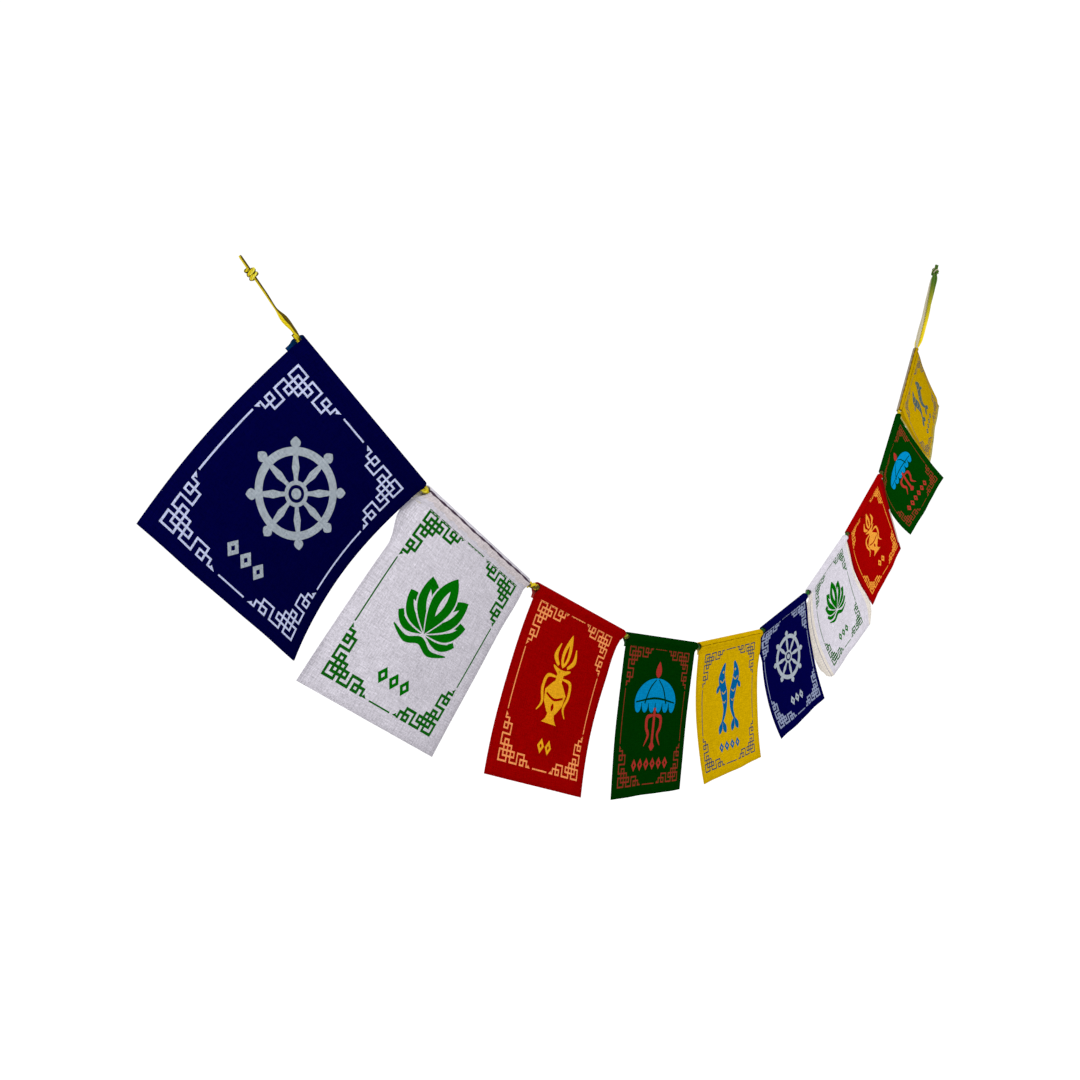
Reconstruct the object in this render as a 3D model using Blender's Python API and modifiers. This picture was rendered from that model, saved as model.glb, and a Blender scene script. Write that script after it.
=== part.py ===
"""A string of ten small prayer flags, hanging from its two tied ends.

One twisted cord runs through the folded top hem of every flag.
The origin is the knot at the left end, +X runs along the string,
+Z is up, and the printed faces look towards -Y.
"""

import math

import bpy
from mathutils import Matrix, Vector

# Lengths are in millimetres and angles in degrees until the meshes are made.
MM = 0.001

# Cloth
CLOTH_THICK = 1.0
FACE_GAP = 0.3
PANEL_COLUMNS = 8
PANEL_ROWS = 12

# Cord
CORD_RADIUS = 1.7
SLEEVE_POINTS = 3
GAP_POINTS = 2

# Knots and the short free tails past them
KNOT_REACH = 3.0
LEFT_KNOT_RADIUS = 2.0
LEFT_TAIL_RADIUS = 0.8
LEFT_TAIL_LENGTH = 7.0
RIGHT_KNOT_RADIUS = 3.8
RIGHT_TAIL_RADIUS = 2.2
RIGHT_TAIL_LENGTH = 10.0

# The top hem, a sleeve that is folded to the back around the cord
SLEEVE_RADIUS = CORD_RADIUS + FACE_GAP + CLOTH_THICK / 2
ROLL_RADIUS = SLEEVE_RADIUS + CLOTH_THICK / 2
FOLD_DEPTH = 3.0
SEAM_DEPTH = 4.5
FLAP_DEPTH = 6.0
FLAP_OFFSET = CLOTH_THICK + FACE_GAP
ROLL_STEPS = 6
SLEEVE_STEPS = 3

# The cord's free stretches, from the left knot to the first hem and from the
# last hem to the right knot: each point of the route, and the cord's radius
# there, small where the strands lie close and large where they lie open
LEFT_KNOT = Vector((0.0, 0.0, 0.0))
FIRST_HEM = Vector((18.0, 0.0, -21.0))
LEFT_ROUTE = (
    (Vector((5.2, 0.0, -6.2)), 0.7),
    (Vector((8.9, 0.0, -10.2)), 0.6),
    (Vector((12.5, 0.0, -14.4)), 1.7),
    (Vector((15.3, 0.0, -17.8)), 1.2),
)
LEFT_STEPS = 2
RIGHT_ROUTE = (
    (Vector((733.7, 5.2, 116.0)), 3.0),
    (Vector((753.2, 5.0, 144.4)), 1.9),
    (Vector((767.6, 5.0, 169.6)), 2.6),
    (Vector((778.9, 5.0, 189.6)), 3.0),
)
RIGHT_STEPS = 3
RIGHT_KNOT = Vector((785.0, 5.0, 200.7))

# Each flag as it hangs, from left to right:
#   gap, step      free cord before the hem, and how far the cord drops across it
#   width, height  cut size, from the top of the roll to the lower edge
#   pitch, turn    slope of the hem, and its turn about the upright
#   swing          how far the flag swings about the cord
#   twist          how far the lower right corner leans back, and the left one forward
#   bow_left, bow_right  how far the middle of each side curls back
#   lean           shift of the lower edge along the hem
#   flap           how far the hem's back flap stands out at the left
FLAG_COLUMNS = (
    "colour", "gap", "step", "width", "height", "pitch", "turn",
    "swing", "twist", "bow_left", "bow_right", "lean", "flap",
)
FLAG_ROWS = (
    ("blue", 0.0, 0.0, 80.2, 99.8, -41.3, 3.8, -2.6, 6.5, 8.8, 11.9, 0.3, 1.6),
    ("white", 3.7, -0.1, 80.3, 100.6, -33.4, 4.4, 9.6, -4.0, 3.0, 0.8, -0.3, 2.2),
    ("red", 8.5, -1.3, 81.1, 100.3, -23.3, 1.6, -0.1, 1.0, 3.5, 4.7, 0.1, 1.2),
    ("green", 5.1, 0.5, 81.1, 98.7, -10.6, 2.5, 0.1, 1.0, 1.2, 1.0, 0.2, 0.8),
    ("yellow", 4.8, 0.3, 79.3, 98.7, 1.5, -2.5, -0.5, 1.4, 5.4, 3.8, 0.7, 0.5),
    ("blue", 5.2, -1.1, 78.7, 97.4, 15.7, 1.5, -2.5, -1.4, 6.7, 3.9, 1.5, 0.4),
    ("white", 7.7, -0.3, 89.4, 100.1, 31.0, 0.2, 0.2, -4.2, 6.2, -1.7, -0.2, 0.6),
    ("red", 8.0, -0.1, 80.5, 101.3, 43.2, -6.9, 6.3, 0.3, 4.1, 3.8, -1.2, 0.4),
    ("green", 5.7, -0.4, 80.4, 100.8, 50.0, 2.5, -9.1, -9.0, 9.8, 1.9, -0.7, 0.6),
    ("yellow", 5.6, -1.0, 80.4, 100.4, 60.6, -4.7, 3.4, 3.1, 3.5, 2.5, -0.5, 0.5),
)

# Cloth and cord colours
COLOURS = {
    "blue": (0.006, 0.006, 0.060),
    "white": (0.680, 0.640, 0.720),
    "red": (0.330, 0.006, 0.006),
    "green": (0.006, 0.042, 0.006),
    "yellow": (0.560, 0.380, 0.004),
    "cord": (0.520, 0.420, 0.020),
}
CLOTH_ROUGHNESS = 0.9


def clear_scene():
    """Remove the objects that the file starts with."""
    for old in list(bpy.data.objects):
        bpy.data.objects.remove(old, do_unlink=True)


def make_collection(name):
    """A collection in the scene for the object's parts."""
    group = bpy.data.collections.new(name)
    bpy.context.scene.collection.children.link(group)
    return group


def make_material(name, colour):
    """A matt Principled material in one colour."""
    material = bpy.data.materials.new(name)
    material.use_nodes = True
    shader = material.node_tree.nodes["Principled BSDF"]
    shader.inputs["Base Color"].default_value = (*colour, 1.0)
    shader.inputs["Roughness"].default_value = CLOTH_ROUGHNESS
    shader.inputs["Metallic"].default_value = 0.0
    return material


def plumb_across(direction):
    """The direction at right angles to this one that points most nearly down."""
    down = Vector((0.0, 0.0, -1.0))
    across = down - direction * down.dot(direction)
    return across.normalized()


def lay_out_hems():
    """Where each flag's hem lies: start, end, and the cloth's own three directions."""
    hems = []
    position = FIRST_HEM
    previous = None
    for row in FLAG_ROWS:
        flag = dict(zip(FLAG_COLUMNS, row))
        pitch = math.radians(flag["pitch"])
        turn = math.radians(flag["turn"])
        along = Vector((
            math.cos(pitch) * math.cos(turn),
            math.cos(pitch) * math.sin(turn),
            math.sin(pitch),
        ))
        if previous is not None:
            between = (along + previous).normalized()
            position = position + between * flag["gap"] + plumb_across(between) * flag["step"]
        swing = Matrix.Rotation(math.radians(flag["swing"]), 3, along)
        down = swing @ plumb_across(along)
        flag["start"] = position
        flag["end"] = position + along * flag["width"]
        flag["along"] = along
        flag["down"] = down
        flag["back"] = along.cross(down)
        hems.append(flag)
        position = flag["end"]
        previous = along
    return hems


def ease(share):
    """Go from 0 to 1 with a level start and end."""
    return (1.0 - math.cos(math.pi * share)) / 2.0


def cloth_point(flag, across, depth, offset, shift):
    """A point of the flag's cloth.

    across runs from 0 at the left side to 1 at the right, depth is the distance
    below the cord along the cloth, offset is how far it lies behind the cloth's
    own middle, and shift is how far it is moved to the left along the hem.
    """
    length = flag["height"] - ROLL_RADIUS
    bow = flag["bow_left"] * (1.0 - across) + flag["bow_right"] * across
    drop = length * (1.0 - 8.0 / 3.0 * (bow / length) ** 2)
    share = max(0.0, (depth - FOLD_DEPTH) / (length - FOLD_DEPTH))
    curl = 4.0 * share * (1.0 - share) * bow
    lean_back = flag["twist"] * (2.0 * across - 1.0) * share
    fall = depth
    if depth > FOLD_DEPTH:
        fall = FOLD_DEPTH + (drop - FOLD_DEPTH) * share
    sideways = flag["width"] * across + flag["lean"] * share - shift
    return (
        flag["start"]
        + flag["along"] * sideways
        + flag["down"] * fall
        + flag["back"] * (curl + lean_back + offset)
    )


def hem_section(flag):
    """The cloth's way from its lower edge, over the cord and down the back.

    Each entry holds the depth below the cord, the offset to the back and the
    share of the flap's sideways shift.
    """
    length = flag["height"] - ROLL_RADIUS
    section = []
    for step in range(PANEL_ROWS):
        section.append((length + (SEAM_DEPTH - length) * step / PANEL_ROWS, 0.0, 0.0))
    for step in range(SLEEVE_STEPS):
        share = step / SLEEVE_STEPS
        section.append((SEAM_DEPTH * (1.0 - share), -SLEEVE_RADIUS * ease(share), 0.0))
    for step in range(ROLL_STEPS + 1):
        angle = math.pi * step / ROLL_STEPS
        section.append((
            -SLEEVE_RADIUS * math.sin(angle),
            -SLEEVE_RADIUS * math.cos(angle),
            step / ROLL_STEPS,
        ))
    for step in range(1, SLEEVE_STEPS + 1):
        share = step / SLEEVE_STEPS
        offset = SLEEVE_RADIUS + (FLAP_OFFSET - SLEEVE_RADIUS) * ease(share)
        section.append((SEAM_DEPTH * share, offset, 1.0))
    section.append((FLAP_DEPTH, FLAP_OFFSET, 1.0))
    return section


def make_flag(name, flag, material, group):
    """One flag: a sheet with its bow and twist, and its hem folded over the cord."""
    section = hem_section(flag)
    points = []
    for depth, offset, flap_share in section:
        for column in range(PANEL_COLUMNS + 1):
            across = column / PANEL_COLUMNS
            shift = flag["flap"] * flap_share
            points.append(cloth_point(flag, across, depth, offset, shift) * MM)
    row_length = PANEL_COLUMNS + 1
    faces = []
    for row in range(len(section) - 1):
        for column in range(PANEL_COLUMNS):
            corner = row * row_length + column
            faces.append((corner, corner + 1, corner + 1 + row_length, corner + row_length))
    mesh = bpy.data.meshes.new(name)
    mesh.from_pydata(points, [], faces)
    mesh.shade_smooth()
    mesh.materials.append(material)
    part = bpy.data.objects.new(name, mesh)
    group.objects.link(part)
    thicken = part.modifiers.new("cloth thickness", "SOLIDIFY")
    thicken.thickness = CLOTH_THICK * MM
    thicken.offset = 0.0
    thicken.use_even_offset = True
    return part


def smooth_stretch(stations, steps):
    """Points on a smooth curve through the inner stations, with their radii."""
    stretch = []
    for before, start, end, after in zip(stations, stations[1:], stations[2:], stations[3:]):
        for step in range(steps):
            share = step / steps
            weights = (
                share * (-1.0 + share * (2.0 - share)) / 2.0,
                (2.0 + share * share * (3.0 * share - 5.0)) / 2.0,
                share * (1.0 + share * (4.0 - 3.0 * share)) / 2.0,
                share * share * (share - 1.0) / 2.0,
            )
            place = Vector((0.0, 0.0, 0.0))
            for weight, station in zip(weights, (before, start, end, after)):
                place += station[0] * weight
            stretch.append((place, start[1] + (end[1] - start[1]) * ease(share)))
    return stretch


def knotted_end(knot, way, knot_radius, tail_radius, tail_length):
    """The cord's points at an end, from the knot's near side to the tip of its tail."""
    return [
        (knot - way * KNOT_REACH / 2, knot_radius),
        (knot + way * KNOT_REACH / 2, knot_radius),
        (knot + way * KNOT_REACH, tail_radius),
        (knot + way * tail_length, tail_radius),
    ]


def cord_route(hems):
    """The cord's middle line with its radius, from the left tail to the right one."""
    left_way = (LEFT_KNOT - LEFT_ROUTE[0][0]).normalized()
    right_way = (RIGHT_KNOT - RIGHT_ROUTE[-1][0]).normalized()
    left_end = knotted_end(
        LEFT_KNOT, left_way, LEFT_KNOT_RADIUS, LEFT_TAIL_RADIUS, LEFT_TAIL_LENGTH,
    )
    right_end = knotted_end(
        RIGHT_KNOT, right_way, RIGHT_KNOT_RADIUS, RIGHT_TAIL_RADIUS, RIGHT_TAIL_LENGTH,
    )
    first = hems[0]
    last = hems[-1]
    left_stations = [
        (LEFT_KNOT, LEFT_ROUTE[0][1]),
        *LEFT_ROUTE,
        (first["start"], CORD_RADIUS),
        (first["start"] + first["along"] * CORD_RADIUS, CORD_RADIUS),
    ]
    right_stations = [
        (last["end"] - last["along"] * CORD_RADIUS, CORD_RADIUS),
        (last["end"], CORD_RADIUS),
        *RIGHT_ROUTE,
        (RIGHT_KNOT, RIGHT_ROUTE[-1][1]),
    ]
    route = left_end[::-1] + smooth_stretch(left_stations, LEFT_STEPS)
    previous = None
    for flag in hems:
        if previous is not None:
            stations = [
                (previous["start"], CORD_RADIUS),
                (previous["end"], CORD_RADIUS),
                (flag["start"], CORD_RADIUS),
                (flag["end"], CORD_RADIUS),
            ]
            route += gap_stretch(stations)
        for step in range(SLEEVE_POINTS):
            share = step / (SLEEVE_POINTS - 1)
            route.append((flag["start"].lerp(flag["end"], share), CORD_RADIUS))
        previous = flag
    route += smooth_stretch(right_stations, RIGHT_STEPS)[1:]
    route.append(RIGHT_ROUTE[-1])
    return route + right_end


def gap_stretch(stations):
    """Points across the gap between two hems, leaving each hem along its own line."""
    (before, radius), (start, _), (end, _), (after, _) = stations
    reach = (end - start).length / 3.0
    leave = start + (start - before).normalized() * reach
    arrive = end + (end - after).normalized() * reach
    stretch = []
    for step in range(1, GAP_POINTS + 1):
        share = step / (GAP_POINTS + 1)
        rest = 1.0 - share
        place = (
            start * rest ** 3
            + leave * 3.0 * rest ** 2 * share
            + arrive * 3.0 * rest * share ** 2
            + end * share ** 3
        )
        stretch.append((place, radius))
    return stretch


def make_cord(hems, material, group):
    """The cord as one round tube that swells at its two end knots."""
    route = cord_route(hems)
    curve = bpy.data.curves.new("cord", "CURVE")
    curve.dimensions = "3D"
    curve.bevel_depth = MM
    curve.bevel_resolution = 2
    curve.use_fill_caps = True
    spline = curve.splines.new("POLY")
    spline.points.add(len(route) - 1)
    for knot, (place, radius) in zip(spline.points, route):
        knot.co = (*(place * MM), 1.0)
        knot.radius = radius
    spline.use_smooth = True
    curve.materials.append(material)
    part = bpy.data.objects.new("cord", curve)
    group.objects.link(part)
    return part


def main():
    """Build the string."""
    clear_scene()
    group = make_collection("prayer_flag_string")
    hems = lay_out_hems()
    make_cord(hems, make_material("cord", COLOURS["cord"]), group)
    for number, flag in enumerate(hems, start=1):
        name = f"flag_{number:02d}_{flag['colour']}"
        material = make_material(name, COLOURS[flag["colour"]])
        make_flag(name, flag, material, group)


main()
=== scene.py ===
import math

import bpy
import numpy as np
from mathutils import Matrix, Vector
from mathutils.geometry import delaunay_2d_cdt


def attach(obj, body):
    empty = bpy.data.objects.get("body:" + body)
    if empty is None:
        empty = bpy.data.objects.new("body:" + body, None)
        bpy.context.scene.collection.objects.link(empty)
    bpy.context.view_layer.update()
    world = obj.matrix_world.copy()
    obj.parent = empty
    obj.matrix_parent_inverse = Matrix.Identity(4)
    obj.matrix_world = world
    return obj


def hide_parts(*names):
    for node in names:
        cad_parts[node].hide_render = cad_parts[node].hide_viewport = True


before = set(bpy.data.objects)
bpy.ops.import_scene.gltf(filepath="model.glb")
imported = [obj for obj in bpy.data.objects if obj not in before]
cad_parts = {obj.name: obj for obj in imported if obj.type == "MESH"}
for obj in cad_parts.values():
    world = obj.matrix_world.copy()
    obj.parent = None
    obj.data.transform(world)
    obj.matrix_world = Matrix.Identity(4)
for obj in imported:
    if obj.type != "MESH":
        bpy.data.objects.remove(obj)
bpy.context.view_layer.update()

# Ten printed cotton flags on one loosely twisted cord.
# Lengths are in millimetres and angles in degrees until the meshes are made.
MM = 0.001
BODY = "root"

# The frame's own numbers, as the solids have them
SOLID_ROLL_RADIUS = 3.0
FOLD_DEPTH = 3.0
SEAM_DEPTH = 4.5
FLAP_DEPTH = 6.0
LEFT_KNOT = Vector((0.0, 0.0, 0.0))
RIGHT_KNOT = Vector((785.0, 5.0, 200.7))
FIRST_HEM = Vector((18.0, 0.0, -21.0))
CORD_RADIUS = 1.7

# Cloth
CLOTH_THICK = 0.5
TUBE_RADIUS = 2.5
FLAP_OFFSET = 0.62
SEAM_LEVEL = SEAM_DEPTH + SOLID_ROLL_RADIUS
ROLL_STEPS = 18
SLEEVE_STEPS = 10
PANEL_STEP = 4.0
HEM_STEP = 0.55
COLUMN_STEP = 4.0
EDGE_STEP = 3.0
MEET = 0.002

# Each flag as it hangs, from left to right:
#   gap, step      free cord before the hem, and how far the cord drops across it
#   width, height  cut size, from the top of the roll to the lower edge
#   pitch, turn    slope of the hem, and its turn about the upright
#   swing          how far the flag swings about the cord
#   twist          how far the lower right corner leans back, and the left one forward
#   bow_left, bow_right  how far the middle of each side curls back
#   lean           shift of the lower edge along the hem
#   flap           how far the hem's back flap stands out at the left
#   flare_left, flare_right  how far each side spreads just below the hem
FLAG_COLUMNS = (
    "colour", "gap", "step", "width", "height", "pitch", "turn",
    "swing", "twist", "bow_left", "bow_right", "lean", "flap", "flare_left", "flare_right",
)
FLAG_ROWS = (
    ("blue", 0.0, 0.0, 80.2, 99.4, -41.3, 3.8, -2.6, 6.5, 8.6, 11.7, 0.3, 1.2, 0.0, 0.0),
    ("white", 3.7, -0.1, 80.3, 100.6, -33.4, 4.4, 9.6, -4.0, 2.2, 0.2, -0.3, 2.2, 4.3, 0.8),
    ("red", 8.5, -1.3, 81.1, 100.3, -23.3, 1.6, -0.1, 1.0, 3.5, 4.7, 0.1, 1.2, 0.0, -1.2),
    ("green", 5.1, 0.5, 81.1, 99.2, -10.6, 2.5, 0.1, 1.0, 1.2, 1.0, 0.2, 0.8, 0.0, 0.0),
    ("yellow", 4.8, 0.3, 79.3, 99.6, 1.5, -2.5, -0.5, 1.4, 4.4, 3.0, 0.7, 0.5, 0.0, 1.6),
    ("blue", 5.2, -1.1, 78.7, 97.4, 15.7, 1.5, -2.5, -1.4, 6.7, 2.4, 1.5, 0.4, 3.0, 1.4),
    ("white", 7.7, -0.3, 89.4, 100.6, 31.0, 0.2, -0.5, -3.0, 6.5, 1.2, -0.2, 0.6, 0.0, 1.0),
    ("red", 6.5, -0.1, 82.0, 102.0, 43.2, -6.9, 6.3, 0.3, 6.5, 0.0, -1.2, 0.4, 3.0, 2.0),
    ("green", 5.7, -0.4, 80.4, 101.5, 50.0, 2.5, -9.1, -9.0, 9.8, 1.9, -0.7, 0.6, 0.0, 0.0),
    ("yellow", 5.6, -1.0, 80.4, 100.4, 60.6, -4.7, 3.4, 3.1, 3.5, 1.0, -0.5, 0.5, 2.0, 2.0),
)
# Where a flare begins, is full and has died out, down the flag, and how far in it reaches
FLARE_START = 9.0
FLARE_FULL = 12.0
FLARE_END = 30.0
FLARE_REACH = 7.0
FLARE_BACK = 0.7
# How far the lower left and right corners are rounded off
ROUNDED_CORNERS = {7: (4.0, 1.5), 10: (0.0, 4.0)}
CORNER_REACH = 12.0
CORNER_LIFT = 0.2
# How far a flag's left side curls back all the way down, and its right side
# to the front below the middle
SIDE_CURLS = {7: (5.0, 6.6)}
LEFT_CURL_REACH = 8.0
RIGHT_CURL_REACH = 16.0
RIGHT_CURL_DEPTH = 73.0
RIGHT_CURL_SPAN = 34.0

# Where the printed frame's corners lie on each flag, as across and down
PRINT_COLUMNS = ("top_left", "top_right", "lower_left", "lower_right")
PRINT_ROWS = (
    ((5.9, 9.5), (74.3, 9.7), (5.1, 93.6), (75.0, 93.9)),
    ((6.5, 7.7), (75.2, 7.7), (7.5, 93.4), (73.4, 93.4)),
    ((5.9, 7.7), (72.6, 7.5), (7.0, 92.6), (75.3, 92.4)),
    ((4.6, 8.0), (74.8, 8.3), (5.2, 93.1), (75.0, 93.1)),
    ((8.3, 10.0), (72.4, 9.1), (4.1, 93.4), (71.4, 93.4)),
    ((1.4, 5.6), (75.8, 6.6), (4.2, 91.2), (74.3, 92.0)),
    ((13.5, 6.7), (78.2, 7.6), (12.8, 94.8), (77.6, 90.8)),
    ((6.3, 5.4), (71.5, 4.6), (7.8, 95.4), (77.1, 94.6)),
    ((4.6, 8.0), (74.2, 10.6), (6.3, 95.2), (74.0, 95.8)),
    ((13.6, 13.0), (80.0, 15.6), (3.4, 94.0), (75.0, 94.2)),
)

# The print, in its own frame
FRAME_WIDTH = 69.0
FRAME_HEIGHT = 84.0
FRET_ACROSS = 2.78
FRET_DOWN = 2.62
RULE_LINE = 0.75
RULE_START_ACROSS = 28.0
RULE_START_DOWN = 25.6

# The fret of one corner, as lines in steps from the corner
FRET_CAP = ((2, 1), (2, 0), (0, 0), (0, 2), (1, 2))
FRET_CELLS = ((1, 1), (2, 1), (3, 1), (1, 2), (2, 2), (1, 3))
FRET_ARM = (
    (1, 3), (0, 3), (0, 5), (2, 5), (2, 7), (0, 7), (0, 6), (1, 6), (1, 8), (0, 8),
)
# Where the ink has run, the fret's lines are this much heavier
FRET_SPREAD = {2: 1.2, 6: 1.6, 7: 1.1, 8: 1.3}
RULE_LINES = {4: 0.60, 9: 0.45}
# The flags whose motif, or fret, is printed in the accent's ink
ACCENT_MOTIFS = (8, 10)
ACCENT_FRETS = (6, 8)
FRET_TIP = ((-0.17, 8.0), (-0.17, 9.2), (0.45, 8.52), (0.12, 8.4), (0.12, 8.0))

# Dyes and inks, as linear colours, with the fret's line weight and the inks' cover
# Each colour's line is the painted shade of its creases and folds
DYES = {
    "blue": {
        "ground": (0.0006, 0.0006, 0.046),
        "border": (0.560, 0.610, 0.860),
        "motif": (0.370, 0.420, 0.470),
        "accent": (0.250, 0.290, 0.430),
        "line": (0.0003, 0.0003, 0.018),
        "tint": (0.0006, 0.0006, 0.046),
        "bare": (0.640, 0.580, 0.480),
        "back": (0.001, 0.026, 0.110),
        "weight": 0.84,
        "cover": -0.25,
    },
    "white": {
        "ground": (0.640, 0.610, 0.680),
        "border": (0.004, 0.104, 0.004),
        "motif": (0.0008, 0.135, 0.0010),
        "accent": (0.0008, 0.135, 0.0010),
        "line": (0.070, 0.045, 0.070),
        "tint": (0.655, 0.590, 0.610),
        "bare": (0.730, 0.670, 0.600),
        "back": (0.600, 0.560, 0.520),
        "weight": 1.12,
        "cover": 0.55,
    },
    "red": {
        "ground": (0.285, 0.0004, 0.0004),
        "border": (0.860, 0.300, 0.095),
        "motif": (0.760, 0.360, 0.010),
        "accent": (0.820, 0.330, 0.040),
        "line": (0.120, 0.0005, 0.004),
        "tint": (0.240, 0.0004, 0.0020),
        "bare": (0.500, 0.430, 0.370),
        "back": (0.330, 0.040, 0.035),
        "weight": 0.92,
        "cover": 0.0,
    },
    "green": {
        "ground": (0.0003, 0.0260, 0.0004),
        "border": (0.230, 0.026, 0.014),
        "motif": (0.0006, 0.215, 0.470),
        "accent": (0.360, 0.026, 0.020),
        "line": (0.0002, 0.012, 0.0002),
        "tint": (0.0003, 0.0200, 0.0004),
        "bare": (0.640, 0.580, 0.480),
        "back": (0.020, 0.095, 0.022),
        "weight": 0.92,
        "cover": -0.05,
    },
    "yellow": {
        "ground": (0.560, 0.345, 0.0006),
        "border": (0.050, 0.065, 0.105),
        "motif": (0.0006, 0.105, 0.300),
        "accent": (0.075, 0.115, 0.120),
        "line": (0.210, 0.110, 0.0006),
        "tint": (0.480, 0.400, 0.120),
        # Cream cloth at the top of the roll, darkened with painted shade
        "bare": (0.380, 0.320, 0.240),
        "back": (0.560, 0.450, 0.130),
        "weight": 0.92,
        "cover": 0.3,
    },
}
# line and shade are painted shade: line along creases and folds, shade in bands where a side curls
# back or lies close to its neighbour
SURFACES = ("ground", "border", "motif", "accent", "line", "bare", "tint", "painted shade")
GHOST = 0.28

# Yarn colours
YARNS = {
    "yellow": (0.780, 0.600, 0.004),
    "lemon": (0.860, 0.760, 0.060),
    # Dark olive: partly an olive dye, partly painted shade on the side of the strands away from the
    # light
    "olive and painted shade": (0.110, 0.075, 0.002),
    "leaf": (0.300, 0.380, 0.010),
    "green": (0.010, 0.120, 0.012),
    "forest": (0.004, 0.045, 0.005),
    "cream": (0.520, 0.470, 0.330),
    "moss": (0.050, 0.127, 0.001),
}
# Each strand's colour at the left end, in each gap and at the right end
STRANDS = (
    ("lemon", "yellow", "yellow", "leaf", "green", "green", "green", "olive and painted shade", "olive and painted shade",
     "cream", "cream"),
    ("yellow", "lemon", "yellow", "yellow", "forest", "green", "green", "green", "olive and painted shade",
     "yellow", "moss"),
    ("olive and painted shade", "yellow", "olive and painted shade", "olive and painted shade", "forest", "forest", "forest", "forest", "green",
     "yellow", "moss"),
)

# The camera, set by the corners of all ten flags
LENS = 24.27
SENSOR = 36.0
CAMERA_PLACE = (-0.1141, -0.2627, -0.0949)
CAMERA_TURN = (89.5, 0.0, -45.0)


def lay_out_hems():
    """Where each flag's hem lies: start, end, and the cloth's own three directions."""
    hems = []
    position = FIRST_HEM
    previous = None
    for row, corners in zip(FLAG_ROWS, PRINT_ROWS):
        flag = dict(zip(FLAG_COLUMNS, row))
        flag["print"] = dict(zip(PRINT_COLUMNS, corners))
        pitch = math.radians(flag["pitch"])
        turn = math.radians(flag["turn"])
        along = Vector((
            math.cos(pitch) * math.cos(turn),
            math.cos(pitch) * math.sin(turn),
            math.sin(pitch),
        ))
        if previous is not None:
            between = (along + previous).normalized()
            position = position + between * flag["gap"] + plumb_across(between) * flag["step"]
        swing = Matrix.Rotation(math.radians(flag["swing"]), 3, along)
        down = swing @ plumb_across(along)
        flag["start"] = position
        flag["end"] = position + along * flag["width"]
        flag["along"] = along
        flag["down"] = down
        flag["back"] = along.cross(down)
        flag["number"] = len(hems) + 1
        hems.append(flag)
        position = flag["end"]
        previous = along
    return hems


def plumb_across(direction):
    """The direction at right angles to this one that points most nearly down."""
    down = Vector((0.0, 0.0, -1.0))
    across = down - direction * down.dot(direction)
    return across.normalized()


def ease(share):
    """Go from 0 to 1 with a level start and end."""
    return (1.0 - math.cos(math.pi * share)) / 2.0


def ease_all(shares):
    """The same for an array."""
    return (1.0 - np.cos(math.pi * shares)) / 2.0


# The cloth's way over the cord

def hem_section():
    """The hem from the seam up the front, over the cord and down the back.

    Gives how far down the cloth each station is, with the front seam at its own
    level and the rest counted back from it, the depth below the cord, the offset
    to the back, and the share of the flap's sideways shift.
    """
    stations = []
    for step in range(SLEEVE_STEPS):
        share = step / SLEEVE_STEPS
        stations.append((SEAM_DEPTH * (1.0 - share), -TUBE_RADIUS * ease(share), 0.0))
    for step in range(ROLL_STEPS + 1):
        share = step / ROLL_STEPS
        angle = math.pi * share
        stations.append((
            -TUBE_RADIUS * math.sin(angle), -TUBE_RADIUS * math.cos(angle), share,
        ))
    for step in range(1, SLEEVE_STEPS + 1):
        share = step / SLEEVE_STEPS
        offset = TUBE_RADIUS + (FLAP_OFFSET - TUBE_RADIUS) * ease(share)
        stations.append((SEAM_DEPTH * share, offset, 1.0))
    stations.append((FLAP_DEPTH, FLAP_OFFSET, 1.0))
    depth, offset, slide = np.array(stations).T
    run = np.concatenate(([0.0], np.cumsum(np.hypot(np.diff(depth), np.diff(offset)))))
    order = slice(None, None, -1)
    return {
        "down": (SEAM_LEVEL - run)[order],
        "depth": depth[order],
        "offset": offset[order],
        "slide": slide[order],
        "top": SEAM_LEVEL - float(np.interp(0.5, slide, run)),
        "end": SEAM_LEVEL - float(run[-1]),
    }


SECTION = hem_section()


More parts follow.
